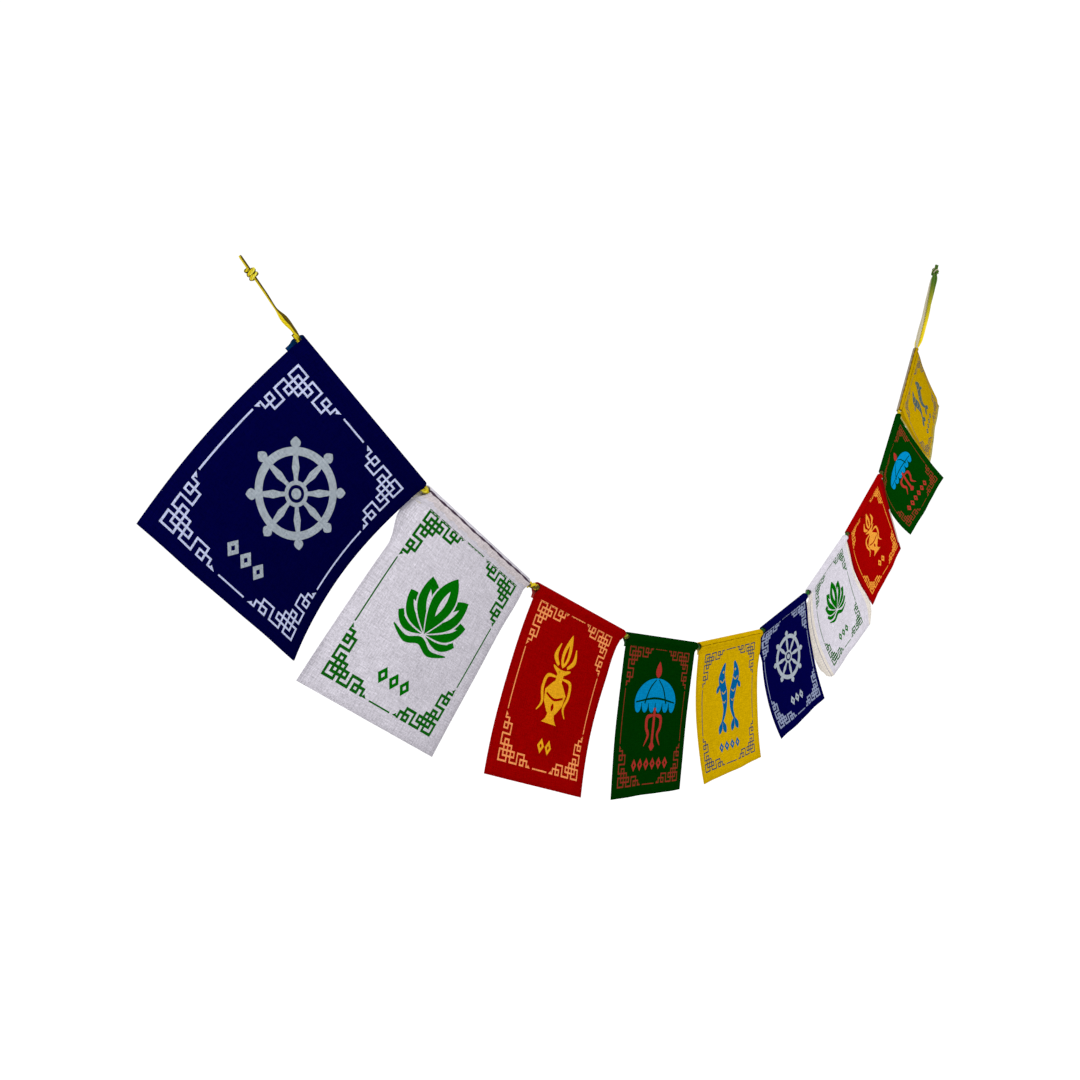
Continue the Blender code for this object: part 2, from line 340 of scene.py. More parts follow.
def hang(flag, spots, lift=0.0):
    """Where spots of the flat cloth hang, in metres.

    A spot is (across, down) on the cloth. lift moves it out of the cloth's middle,
    towards the front where it is positive.
    """
    across, down = np.asarray(spots, float).T
    on_panel = down > SEAM_LEVEL
    depth = np.where(
        on_panel, down - SOLID_ROLL_RADIUS, np.interp(down, SECTION["down"], SECTION["depth"]),
    )
    offset = np.where(on_panel, 0.0, np.interp(down, SECTION["down"], SECTION["offset"]))
    slide = np.where(on_panel, 0.0, np.interp(down, SECTION["down"], SECTION["slide"]))
    length = flag["height"] - SOLID_ROLL_RADIUS
    side = across / flag["width"]
    bow = flag["bow_left"] * (1.0 - side) + flag["bow_right"] * side
    drop = length * (1.0 - 8.0 / 3.0 * (bow / length) ** 2)
    share = np.clip((depth - FOLD_DEPTH) / (length - FOLD_DEPTH), 0.0, None)
    curl = 4.0 * share * (1.0 - share) * bow
    lean_back = flag["twist"] * (2.0 * side - 1.0) * share
    fall = np.where(depth > FOLD_DEPTH, FOLD_DEPTH + (drop - FOLD_DEPTH) * share, depth)
    spread = ease_all(np.clip(depth / FLARE_START, 0.0, 1.0))
    spread = spread * ease_all(np.clip((FLARE_END - depth) / (FLARE_END - FLARE_FULL), 0.0, 1.0))
    near_left = np.clip(1.0 - across / FLARE_REACH, 0.0, 1.0) ** 2
    near_right = np.clip(1.0 - (flag["width"] - across) / FLARE_REACH, 0.0, 1.0) ** 2
    to_left = flag["flare_left"] * near_left * spread
    to_right = flag["flare_right"] * near_right * spread
    low = ease_all(np.clip(1.0 - (flag["height"] - down) / CORNER_REACH, 0.0, 1.0))
    round_left, round_right = ROUNDED_CORNERS.get(flag["number"], (0.0, 0.0))
    cut_left = round_left * near_left * low
    cut_right = round_right * near_right * low
    fall = fall - CORNER_LIFT * (cut_left + cut_right)
    sideways = across + flag["lean"] * share - flag["flap"] * slide
    sideways = sideways + to_right - to_left + cut_left - cut_right
    behind = curl + lean_back + offset + FLARE_BACK * to_left + side_curl(flag, across, depth)
    behind = behind + ripple(flag, across, depth, share) - lift
    start, along, drop_way, back = (
        np.array(flag[name]) for name in ("start", "along", "down", "back")
    )
    places = start + np.outer(sideways, along) + np.outer(fall, drop_way)
    return (places + np.outer(behind, back)) * MM


def side_curl(flag, across, depth):
    """How far back the left side curls, less how far the right side curls forward."""
    back, front = SIDE_CURLS.get(flag["number"], (0.0, 0.0))
    left = np.clip(1.0 - across / LEFT_CURL_REACH, 0.0, 1.0) ** 2
    left = left * ease_all(np.clip(depth / FLARE_START - 1.0, 0.0, 1.0))
    right = np.clip(1.0 - (flag["width"] - across) / RIGHT_CURL_REACH, 0.0, 1.0) ** 2
    low = np.abs(depth - RIGHT_CURL_DEPTH) / RIGHT_CURL_SPAN
    return back * left - front * right * ease_all(np.clip(1.0 - low, 0.0, 1.0))


def ripple(flag, across, depth, share):
    """The cloth's slight unevenness: puckers below the hem, a soft wave at the edge."""
    phase = 1.9 * flag["number"]
    below = np.clip(depth / SEAM_DEPTH - 1.0, 0.0, 1.0)
    pucker = 0.10 * np.sin(across / 2.3 + phase) * np.exp(-np.maximum(depth, 0.0) / 14.0)
    pucker += 0.14 * np.sin(across / 6.1 + 2.0 * phase) * np.exp(-np.maximum(depth, 0.0) / 22.0)
    wave = 0.34 * np.sin(across / 8.7 + phase + depth / 40.0) * share ** 1.5
    wave += 0.16 * np.sin(across / 4.1 + 3.0 * phase - depth / 25.0) * share ** 3
    cockle = 0.10 * np.sin(across / 11.0 + depth / 9.0 + phase)
    return below * (pucker + wave + cockle)


# The print: marks are (surface, outline) in the print's frame, later ones on top

def box_mark(surface, left, top, right, bottom):
    """A straight-sided mark."""
    return surface, [(left, top), (right, top), (right, bottom), (left, bottom)]


def disc(surface, centre, radius, sides=36):
    """A round mark."""
    return surface, oval(centre, radius, radius, sides)


def oval(centre, half_width, half_height, sides=36):
    """An oval outline."""
    return [
        (
            centre[0] + half_width * math.cos(2.0 * math.pi * side / sides),
            centre[1] + half_height * math.sin(2.0 * math.pi * side / sides),
        )
        for side in range(sides)
    ]


def stroke(points, widths, steps=8):
    """A brush stroke through some points, with its width at each."""
    path = []
    ends = [points[0], *points, points[-1]]
    for index in range(len(points) - 1):
        for step in range(steps):
            share = step / steps
            path.append((
                *spline(ends[index:index + 4], share),
                widths[index] + (widths[index + 1] - widths[index]) * share,
            ))
    path.append((*points[-1], widths[-1]))
    left, right = [], []
    for index, (x, y, width) in enumerate(path):
        before = path[max(index - 1, 0)]
        after = path[min(index + 1, len(path) - 1)]
        length = math.hypot(after[0] - before[0], after[1] - before[1])
        side_x = -(after[1] - before[1]) / length * width / 2.0
        side_y = (after[0] - before[0]) / length * width / 2.0
        left.append((x + side_x, y + side_y))
        right.append((x - side_x, y - side_y))
    return left + right[::-1]


def spline(points, share):
    """A point between the two middle ones, on a smooth curve through all four."""
    weights = (
        share * (-1.0 + share * (2.0 - share)) / 2.0,
        (2.0 + share * share * (3.0 * share - 5.0)) / 2.0,
        share * (1.0 + share * (4.0 - 3.0 * share)) / 2.0,
        share * share * (share - 1.0) / 2.0,
    )
    return [
        sum(weight * point[axis] for weight, point in zip(weights, points))
        for axis in range(len(points[0]))
    ]


def petal(base, length, width, angle, belly=0.45):
    """A pointed petal from its base, with angle 0 straight up."""
    turn = math.radians(angle)
    outline = []
    steps = 14
    for side in (1.0, -1.0):
        for step in range(steps):
            share = step / steps if side > 0.0 else 1.0 - step / steps
            swell = math.sin(math.pi * share ** (math.log(0.5) / math.log(belly))) ** 0.85
            x = side * width / 2.0 * swell
            y = -length * share
            outline.append((
                base[0] + x * math.cos(turn) - y * math.sin(turn),
                base[1] + x * math.sin(turn) + y * math.cos(turn),
            ))
    return outline


def grown(outline, centre, more):
    """The outline moved out from a centre all round."""
    moved = []
    for x, y in outline:
        reach = math.hypot(x - centre[0], y - centre[1]) or 1.0
        moved.append((
            x + (x - centre[0]) / reach * more, y + (y - centre[1]) / reach * more,
        ))
    return moved


def mirrored(marks, middle):
    """The marks with their mirror image to the other side of an upright line."""
    return marks + [
        (surface, [(2.0 * middle - x, y) for x, y in outline]) for surface, outline in marks
    ]


def fret_marks(weight, rule):
    """The interlaced fret in the four corners, with thin rules between them."""
    half = weight / 2.0
    lines = [FRET_CAP]
    for column, row in FRET_CELLS:
        lines.append((
            (column, row), (column + 1, row), (column + 1, row + 1), (column, row + 1),
            (column, row),
        ))
    lines.append(FRET_ARM)
    lines.append(tuple((y, x) for x, y in FRET_ARM))
    corner = []
    for line in lines:
        for start, end in zip(line, line[1:]):
            xs = [half + FRET_ACROSS * point[0] for point in (start, end)]
            ys = [half + FRET_DOWN * point[1] for point in (start, end)]
            corner.append(box_mark(
                "border", min(xs) - half, min(ys) - half, max(xs) + half, max(ys) + half,
            ))
    for tip in (FRET_TIP, tuple((y, x) for x, y in FRET_TIP)):
        corner.append((
            "border", [(half + FRET_ACROSS * x, half + FRET_DOWN * y) for x, y in tip],
        ))
    marks = mirrored(corner, FRAME_WIDTH / 2.0)
    marks += [
        (surface, [(x, FRAME_HEIGHT - y) for x, y in outline]) for surface, outline in marks
    ]
    across = (RULE_START_ACROSS, FRAME_WIDTH - RULE_START_ACROSS)
    down = (RULE_START_DOWN, FRAME_HEIGHT - RULE_START_DOWN)
    marks += [
        box_mark("border", across[0], 0.0, across[1], rule),
        box_mark("border", across[0], FRAME_HEIGHT - rule, across[1], FRAME_HEIGHT),
        box_mark("border", 0.0, down[0], rule, down[1]),
        box_mark("border", FRAME_WIDTH - rule, down[0], FRAME_WIDTH, down[1]),
    ]
    return marks


def lozenge_row(surface, count, centre=(34.5, 71.3), size=(6.0, 8.0), pitch=6.9):
    """A short row of lozenges under the motif, each with an open eye."""
    marks = []
    for index in range(count):
        x = centre[0] + (index - (count - 1) / 2.0) * pitch
        for part, share in ((surface, 1.0), ("ground", 0.34)):
            wide = size[0] / 2.0 * share
            high = size[1] / 2.0 * share
            marks.append((part, [
                (x, centre[1] - high), (x + wide, centre[1]),
                (x, centre[1] + high), (x - wide, centre[1]),
            ]))
    return marks


def wheel_marks():
    """An eight-spoked wheel for the blue flags."""
    centre = (35.3, 35.6)
    marks = [disc("motif", centre, 18.6, 64), disc("ground", centre, 15.2, 64)]
    for spoke in range(8):
        turn = math.radians(45.0 * spoke)
        way = (math.sin(turn), -math.cos(turn))
        points = [
            (centre[0] + way[0] * reach, centre[1] + way[1] * reach)
            for reach in (3.0, 7.0, 10.5, 15.8)
        ]
        marks.append(("motif", stroke(points, (1.5, 1.9, 3.3, 1.7))))
        bud = (centre[0] + way[0] * 17.6, centre[1] + way[1] * 17.6)
        marks.append(("motif", petal(bud, 5.0, 4.4, 45.0 * spoke, 0.5)))
    marks += [disc("motif", centre, 5.3), disc("ground", centre, 3.6), disc("motif", centre, 2.2)]
    return marks + lozenge_row("motif", 3)


def lotus_marks():
    """An open lotus for the white flags."""
    base = (35.3, 46.5)
    marks = []
    for angle, length, width in ((82.0, 19.5, 9.0), (56.0, 23.5, 11.0), (29.0, 27.0, 12.5)):
        for side in (-1.0, 1.0):
            outline = petal(base, length, width, side * angle, 0.56)
            middle = (
                sum(x for x, _ in outline) / len(outline),
                sum(y for _, y in outline) / len(outline),
            )
            marks.append(("ground", grown(outline, middle, 0.9)))
            marks.append(("motif", outline))
            marks.append(("ground", petal(
                (base[0] + side * math.sin(math.radians(angle)) * length * 0.34,
                 base[1] - math.cos(math.radians(angle)) * length * 0.34),
                length * 0.44, width * 0.20, side * angle, 0.5,
            )))
    outline = petal(base, 30.0, 13.5, 0.0, 0.56)
    marks.append(("ground", grown(outline, (base[0], base[1] - 16.0), 0.9)))
    marks.append(("motif", outline))
    marks.append(("ground", petal((base[0], base[1] - 9.5), 13.5, 3.0, 0.0, 0.5)))
    marks.append(("motif", stroke(
        [(base[0] - 17.5, base[1] + 3.2), (base[0] - 8.0, base[1] + 6.2),
         (base[0], base[1] + 3.4), (base[0] + 8.0, base[1] + 6.2),
         (base[0] + 17.5, base[1] + 3.2)],
        (0.6, 3.0, 3.6, 3.0, 0.6),
    )))
    return marks + lozenge_row("motif", 3)


def vase_marks():
    """A tall vase with a flame for the red flags."""
    middle = 35.0
    marks = [
        ("motif", stroke([(middle, 36.0), (middle, 42.0), (middle, 48.0), (middle, 54.0)],
                         (5.4, 19.0, 17.0, 6.0))),
        ("motif", stroke([(middle, 53.0), (middle, 56.5), (middle, 59.0)],
                         (5.0, 8.0, 14.0), 5)),
        box_mark("motif", middle - 3.0, 30.5, middle + 3.0, 37.5),
        ("motif", stroke([(middle - 8.0, 28.6), (middle, 31.2), (middle + 8.0, 28.6)],
                         (0.8, 3.6, 0.8))),
        ("ground", stroke([(middle - 7.6, 43.8), (middle, 46.0), (middle + 7.6, 43.8)],
                          (1.2, 1.5, 1.2))),
    ]
    marks += [
        ("ground", petal((middle, 52.6), 4.6, 2.6, 0.0, 0.5)),
        ("motif", petal((middle, 28.4), 19.0, 7.4, 0.0, 0.40)),
        ("ground", petal((middle, 26.0), 10.5, 2.5, 0.0, 0.42)),
    ]
    side = [
        ("motif", stroke([(middle - 4.0, 27.6), (middle - 8.6, 23.0), (middle - 7.2, 16.0)],
                         (1.6, 3.4, 0.5))),
        ("motif", stroke(
            [(middle - 3.0, 34.0), (middle - 10.5, 35.0), (middle - 12.0, 42.0),
             (middle - 9.8, 49.0), (middle - 13.0, 54.0)],
            (0.9, 2.2, 2.2, 1.9, 0.5))),
    ]
    return marks + mirrored(side, middle) + lozenge_row("motif", 2, (35.3, 71.3))


def parasol_marks():
    """A blue parasol with a red shaft for the green flags."""
    middle = 35.0
    dome = [
        (middle + 23.5 * math.cos(math.pi * step / 24), 34.0 - 15.5 * math.sin(math.pi * step / 24))
        for step in range(25)
    ]
    marks = [("motif", dome)]
    for index in range(6):
        x = middle - 19.4 + index * 7.76
        marks.append(("motif", oval((x, 34.4), 3.6, 5.6, 20)))
    for reach in (-12.2, 12.2):
        marks.append(("ground", stroke(
            [(middle + reach * 0.12, 19.4), (middle + reach * 0.62, 25.0), (middle + reach, 34.4)],
            (0.7, 1.1, 1.3))))
    marks.append(("ground", stroke(
        [(middle - 22.0, 33.6), (middle, 31.0), (middle + 22.0, 33.6)], (0.9, 1.4, 0.9))))
    marks += [
        ("accent", petal((middle, 18.2), 10.5, 6.6, 0.0, 0.38)),
        box_mark("accent", middle - 1.3, 37.0, middle + 1.3, 60.0),
        ("accent", stroke([(middle, 58.5), (middle, 61.0), (middle, 63.5)], (2.6, 6.4, 1.0), 5)),
    ]
    side = [
        ("accent", stroke(
            [(middle - 1.0, 41.5), (middle - 7.5, 43.0), (middle - 8.0, 49.0),
             (middle - 5.4, 54.0), (middle - 9.4, 60.5)],
            (1.2, 3.0, 2.8, 2.4, 0.5))),
    ]
    return marks + mirrored(side, middle) + lozenge_row("accent", 6, (34.3, 71.6), (5.8, 7.6), 7.2)


def fish_marks():
    """A pair of upright fish for the yellow flags."""
    middle = 35.0
    body = [(middle - 6.4, 10.5), (middle - 9.6, 21.0), (middle - 5.6, 34.0), (middle - 4.6, 45.0),
            (middle - 8.2, 54.0)]
    fish = [
        ("motif", stroke(body, (1.6, 8.4, 8.0, 4.2, 1.8), 10)),
        ("motif", petal((middle - 7.8, 52.0), 11.0, 4.8, 206.0, 0.62)),
        ("motif", petal((middle - 7.8, 52.0), 11.0, 4.8, 158.0, 0.62)),
        ("motif", petal((middle - 11.6, 25.0), 8.0, 3.6, 214.0, 0.6)),
        ("ground", oval((middle - 8.0, 17.0), 0.95, 0.95, 14)),
        ("ground", stroke([(middle - 11.8, 22.6), (middle - 8.8, 24.6), (middle - 5.8, 22.2)],
                          (0.7, 0.9, 0.7))),
        ("ground", stroke([(middle - 9.0, 31.4), (middle - 6.8, 33.2), (middle - 3.6, 31.2)],
                          (0.6, 0.8, 0.6))),
        ("ground", stroke([(middle - 7.6, 38.6), (middle - 5.4, 40.0), (middle - 3.4, 38.4)],
                          (0.5, 0.7, 0.5))),
    ]
    return mirrored(fish, middle) + lozenge_row("motif", 4, (34.3, 71.5), (5.8, 7.2), 6.9)


MOTIFS = {
    "blue": wheel_marks,
    "white": lotus_marks,
    "red": vase_marks,
    "green": parasol_marks,
    "yellow": fish_marks,
}


def lay_print(flag, marks):
    """The marks where the print lies on this flag's cloth."""
    corners = flag["print"]
    laid = []
    for surface, outline in marks:
        placed = []
        for x, y in outline:
            right = x / FRAME_WIDTH
            low = y / FRAME_HEIGHT
            spot = [
                (corners["top_left"][axis] * (1.0 - right) + corners["top_right"][axis] * right)
                * (1.0 - low)
                + (corners["lower_left"][axis] * (1.0 - right)
                   + corners["lower_right"][axis] * right) * low
                for axis in (0, 1)
            ]
            placed.append(tuple(spot))
        laid.append((surface, placed))
    return laid


def faded(flag, surface, top, bottom, phase):
    """A band across the whole flag with a ragged lower edge."""
    edge = []
    count = 48
    for step in range(count + 1):
        swell = 0.55 * math.sin(step * 1.3 + phase) + 0.35 * math.sin(step * 2.9 + 2.0 * phase)
        edge.append((flag["width"] * step / count, bottom + swell))
    return surface, [(0.0, top), (flag["width"], top), *edge[::-1]]


def crease(flag, down, half_width, phase):
    """An uneven line of painted shade across the whole flag, where the cloth creases."""
    upper, lower = [], []
    count = 40
    for step in range(count + 1):
        across = flag["width"] * step / count
        swell = half_width * (1.0 + 0.45 * math.sin(step * 1.7 + phase))
        level = down + 0.10 * math.sin(step * 0.5 + phase)
        upper.append((across, level - swell))
        lower.append((across, level + swell))
    return "line", upper + lower[::-1]


def cloth_marks(flag):
    """Painted shade along the hem's creases and folds and at some flags' sides, and the places
    where the cream cloth shows bare.
    """
    width, height = flag["width"], flag["height"]
    number = flag["number"]
    fold = SECTION["end"]
    marks = []
    if number == 2:
        marks.append(faded(flag, "tint", 1.9, 5.4, 1.0))
        # Painted shade along the hem's crease
        marks.append(crease(flag, 1.8, 0.42, 0.0))
    if number == 5:
        # Painted shade along the hem's crease
        marks.append(crease(flag, 2.0, 0.18, 1.0))
    if number == 8:
        # Painted shade down both sides, where flags 7 and 9 lie close and shade its edges
        marks.append(box_mark("painted shade", 0.0, SEAM_LEVEL, 2.6, height))
        marks.append(box_mark("painted shade", 77.6, SEAM_LEVEL, width, height))
        marks.append(box_mark("bare", 80.0, 46.0, width, height - 10.0))
    if number == 7:
        marks.append(box_mark("bare", 0.0, SEAM_LEVEL, 7.2, height))
        # A thin line of painted shade where the cream strip folds
        marks.append(box_mark("painted shade", 4.2, SEAM_LEVEL, 4.7, height))
        marks.append(box_mark("bare", 86.2, SEAM_LEVEL, width, height))
    if number == 10:
        marks.append(box_mark("bare", 0.0, fold, width, -1.2))
        # Painted shade along the hem's creases and folds
        marks.append(crease(flag, -1.1, 0.40, 0.5))
        marks.append(crease(flag, 2.2, 0.40, 0.5))
        marks.append(crease(flag, 8.2, 0.45, 2.0))
        # Painted shade in a band down the left side, where it curls back
        marks.append(box_mark("painted shade", 0.0, SEAM_LEVEL, 5.6, height - 12.0))
        # A line of painted shade at the side's fold
        marks.append(box_mark("line", 5.6, SEAM_LEVEL, 6.0, height - 14.0))
        marks.append(box_mark("tint", 0.0, SEAM_LEVEL, 1.6, height))
        # Painted shade along the right edge
        marks.append(box_mark("painted shade", 79.2, SEAM_LEVEL, width, height))
        marks.append(box_mark("tint", 0.0, 96.6, width, height))
        # Painted shade along a crease near the lower edge
        marks.append(crease(flag, 96.4, 0.20, 2.0))
    return marks


# Cutting the cloth and hanging it

def split_edges(outline):
    """The outline with its long edges cut short, so that it can follow a bowed cloth."""
    spots = []
    for start, end in zip(outline, outline[1:] + outline[:1]):
        parts = max(1, math.ceil(math.dist(start, end) / EDGE_STEP))
        for part in range(parts):
            share = part / parts
            spots.append((
                start[0] + (end[0] - start[0]) * share, start[1] + (end[1] - start[1]) * share,
            ))
    area = sum(a[0] * b[1] - b[0] * a[1] for a, b in zip(spots, spots[1:] + spots[:1]))
    return spots if area > 0.0 else spots[::-1]


def in_accent(marks, surface):
    """The marks with one surface's ink changed for the accent's."""
    return [("accent" if mark[0] == surface else mark[0], mark[1]) for mark in marks]


def cut_cloth(flag, marks):
    """The flat cloth as triangles whose edges follow the marks, and each one's surface."""
    width, height = flag["width"], flag["height"]
    columns = np.linspace(0.0, width, math.ceil(width / COLUMN_STEP) + 1)
    hem = np.linspace(
        SECTION["end"], SEAM_LEVEL, math.ceil((SEAM_LEVEL - SECTION["end"]) / HEM_STEP) + 1,
    )
    panel = np.linspace(SEAM_LEVEL, height, math.ceil((height - SEAM_LEVEL) / PANEL_STEP) + 1)
    spots = [Vector((across, down)) for down in [*hem, *panel[1:]] for across in columns]
    outlines = []
    for _, outline in marks:
        ring = split_edges(outline)
        outlines.append(list(range(len(spots), len(spots) + len(ring))))
        spots += [Vector(spot) for spot in ring]
    spots, _, triangles, _, _, owners = delaunay_2d_cdt(spots, [], outlines, 0, MEET)
    surfaces = []
    for owner in owners:
        surface = marks[max(owner)][0] if owner else "ground"
        surfaces.append(SURFACES.index(surface))
    return np.array([tuple(spot) for spot in spots]), triangles, surfaces


def make_flag(flag, materials):
    """One flag: printed cloth with its hem folded over the cord."""
    marks = cloth_marks(flag)
    motif = MOTIFS[flag["colour"]]()
    if flag["number"] in ACCENT_MOTIFS:
        motif = in_accent(motif, "motif")
    weight = DYES[flag["colour"]]["weight"] * FRET_SPREAD.get(flag["number"], 1.0)
    rule = RULE_LINES.get(flag["number"], RULE_LINE)
    fret = fret_marks(weight, rule)
    if flag["number"] in ACCENT_FRETS:
        fret = in_accent(fret, "border")
    marks += lay_print(flag, fret + motif)
    spots, triangles, surfaces = cut_cloth(flag, marks)
    mesh = bpy.data.meshes.new(flag["name"])
    facing = [tuple(reversed(triangle)) for triangle in triangles]
    mesh.from_pydata([tuple(place) for place in hang(flag, spots)], [], facing)
    mesh.polygons.foreach_set("material_index", surfaces)
    weave = mesh.uv_layers.new(name="weave")
    corners = np.zeros(len(mesh.loops), int)
    mesh.loops.foreach_get("vertex_index", corners)
    weave.data.foreach_set("uv", (spots[corners] / 100.0).ravel())
    # The cloth's brightness from left to right: its dye lot with painted light and shade
    left, right = DYE_LOTS_AND_PAINTED_LIGHT[flag["number"] - 1]
    depth = mesh.attributes.new("dye lot and painted light", "FLOAT", "POINT")
    depth.data.foreach_set("value", left + (right - left) * spots[:, 0] / flag["width"])
    for material in materials:
        mesh.materials.append(material)
    mesh.shade_smooth()
    cloth = add_object(flag["name"], mesh)
    thicken = cloth.modifiers.new("cloth thickness", "SOLIDIFY")
    thicken.thickness = CLOTH_THICK * MM
    thicken.offset = 0.0
    thicken.use_even_offset = True
    thicken.material_offset = len(SURFACES)
    cloth = finished(cloth)
    drop_unused(cloth.data)
    return cloth


def drop_unused(mesh):
    """Keep only the materials that some face has."""
    used = sorted({polygon.material_index for polygon in mesh.polygons})
    kept = [mesh.materials[index] for index in used]
    indices = [used.index(polygon.material_index) for polygon in mesh.polygons]
    mesh.materials.clear()
    for material in kept:
        mesh.materials.append(material)
    mesh.polygons.foreach_set("material_index", indices)


def add_object(name, data):
    """A new object in the scene."""
    made = bpy.data.objects.new(name, data)
    bpy.context.scene.collection.objects.link(made)
    return made


def finished(piece):
    """The piece with its modifiers made part of its mesh."""
    depsgraph = bpy.context.evaluated_depsgraph_get()
    mesh = bpy.data.meshes.new_from_object(piece.evaluated_get(depsgraph))
    mesh.name = piece.name
    piece.modifiers.clear()
    piece.data = mesh
    return piece


# The stitches that hold each hem

STITCH_DEPTH = 5.3
STITCH_PITCH = 2.6
STITCH_INSET = 1.4
STITCH_SIZE = (2.1, 0.34, 0.24)
STITCH_STANDS = 0.32


def make_stitch_row():
    """A node group that sets one rounded stitch after another along lines."""
    group = bpy.data.node_groups.new("row of stitches", "GeometryNodeTree")
    for name, kind in (
        ("Lines", "NodeSocketGeometry"), ("Pitch", "NodeSocketFloat"),
        ("Size", "NodeSocketVector"), ("Thread", "NodeSocketMaterial"),
    ):
        group.interface.new_socket(name, in_out="INPUT", socket_type=kind)
    group.interface.new_socket("Stitches", in_out="OUTPUT", socket_type="NodeSocketGeometry")
    given = group.nodes.new("NodeGroupInput")
    result = group.nodes.new("NodeGroupOutput")
    curve = group.nodes.new("GeometryNodeMeshToCurve")
    spaced = group.nodes.new("GeometryNodeResampleCurve")
    spaced.mode = "LENGTH"
    way = group.nodes.new("GeometryNodeInputTangent")
    turned = group.nodes.new("FunctionNodeAlignRotationToVector")
    turned.axis = "X"
    bead = group.nodes.new("GeometryNodeMeshIcoSphere")
    bead.inputs["Radius"].default_value = 0.5
    bead.inputs["Subdivisions"].default_value = 2
    placed = group.nodes.new("GeometryNodeInstanceOnPoints")
    real = group.nodes.new("GeometryNodeRealizeInstances")
    dressed = group.nodes.new("GeometryNodeSetMaterial")
    join = group.links.new
    join(given.outputs["Lines"], curve.inputs["Mesh"])
    join(curve.outputs["Curve"], spaced.inputs["Curve"])
    join(given.outputs["Pitch"], spaced.inputs["Length"])
    join(spaced.outputs["Curve"], placed.inputs["Points"])
    join(bead.outputs["Mesh"], placed.inputs["Instance"])
    join(way.outputs["Tangent"], turned.inputs["Vector"])
    join(turned.outputs["Rotation"], placed.inputs["Rotation"])
    join(given.outputs["Size"], placed.inputs["Scale"])
    join(placed.outputs["Instances"], real.inputs["Geometry"])
    join(real.outputs["Geometry"], dressed.inputs["Geometry"])
    join(given.outputs["Thread"], dressed.inputs["Material"])
    join(dressed.outputs["Geometry"], result.inputs["Stitches"])
    return group


def seam_line(flag, down, lift):
    """Places of the needle along the seam, as the cloth hangs."""
    count = 40
    spots = [
        (STITCH_INSET + (flag["width"] - 2.0 * STITCH_INSET) * step / count, down)
        for step in range(count + 1)
    ]
    return [tuple(place) for place in hang(flag, spots, lift)]


def make_stitches(flag, row, thread):
    """The hem's seam, seen on the front and on the back flap."""
    front = seam_line(flag, STITCH_DEPTH + SOLID_ROLL_RADIUS, STITCH_STANDS)
    behind = seam_line(flag, SECTION["end"] + FLAP_DEPTH - STITCH_DEPTH, -STITCH_STANDS)
    count = len(front)
    edges = [(start, start + 1) for start in range(count - 1)]
    edges += [(count + start, count + start + 1) for start in range(count - 1)]
    mesh = bpy.data.meshes.new(flag["name"] + "_seam")
    mesh.from_pydata(front + behind, edges, [])
    name = flag["name"].replace("_cloth", "_hem_stitches")
    stitches = add_object(name, mesh)
    rows = stitches.modifiers.new("stitches", "NODES")
    rows.node_group = row
    sockets = {
        item.name: item.identifier
        for item in row.interface.items_tree if item.in_out == "INPUT"
    }
    rows[sockets["Pitch"]] = STITCH_PITCH * MM
    rows[sockets["Size"]] = [size * MM for size in STITCH_SIZE]
    rows[sockets["Thread"]] = thread
    stitches = finished(stitches)
    stitches.data.shade_smooth()
    return stitches


# The cord: three strands laid round one line

# Points of the free ends: place, radius of the cord there
LEFT_ROUTE = (
    (Vector((5.2, 0.0, -6.2)), 0.62),
    (Vector((8.6, 0.0, -10.5)), 0.50),
    (Vector((12.4, 0.0, -14.4)), 1.60),
    (Vector((15.9, 0.0, -17.6)), 1.10),
)
RIGHT_ROUTE = (
    (Vector((732.9, 5.2, 116.4)), 4.0),
    (Vector((753.2, 5.0, 144.4)), 3.8),
    (Vector((767.6, 5.0, 169.6)), 3.8),
    (Vector((778.9, 5.0, 189.6)), 3.9),
)
RIGHT_PASSED = (9.1, 9.45, 9.6, 9.75)
FIRST_RADIUS = 1.15
LEFT_TAIL = (7.0, 0.65)
RIGHT_TAIL = (10.0, 2.0)
# Where each tail has its full size, and the cord's radius inside the right knot
LEFT_TAIL_START = 3.0
RIGHT_TAIL_START = 4.0
RIGHT_KNOT_CORE = 1.5
# Each knot's coil: radius of the cord inside it, of the coil itself, and the spacing
LEFT_COIL = (0.72, 0.72, 0.4)
RIGHT_COIL = (1.35, 1.25, 0.6)
COIL_TURNS = 2.5
CLOSED_END = 0.55
STRAND_SHARE = 0.464
CORD_SPACING = 0.8
STRAND_SIDES = 8
LEFT_LAY = 400.0
HEM_LAY = 10.0
RIGHT_LAY = 300.0
FIRST_TURN = 0.17
LAST_TURN = 0.02


def smooth_line(stations, spacing=CORD_SPACING):
    """Dense places and radii on a smooth curve through the stations."""
    ends = [stations[0], *stations, stations[-1]]
    line = []
    for before, start, end, after in zip(ends, ends[1:], ends[2:], ends[3:]):
        steps = max(2, math.ceil((end[0] - start[0]).length / spacing))
        for step in range(steps):
            share = step / steps
            place = Vector(spline([item[0] for item in (before, start, end, after)], share))
            line.append((place, start[1] + (end[1] - start[1]) * ease(share), start[2]
                         + (end[2] - start[2]) * share, start[3] + (end[3] - start[3]) * share))
    line.append(stations[-1])
    return line


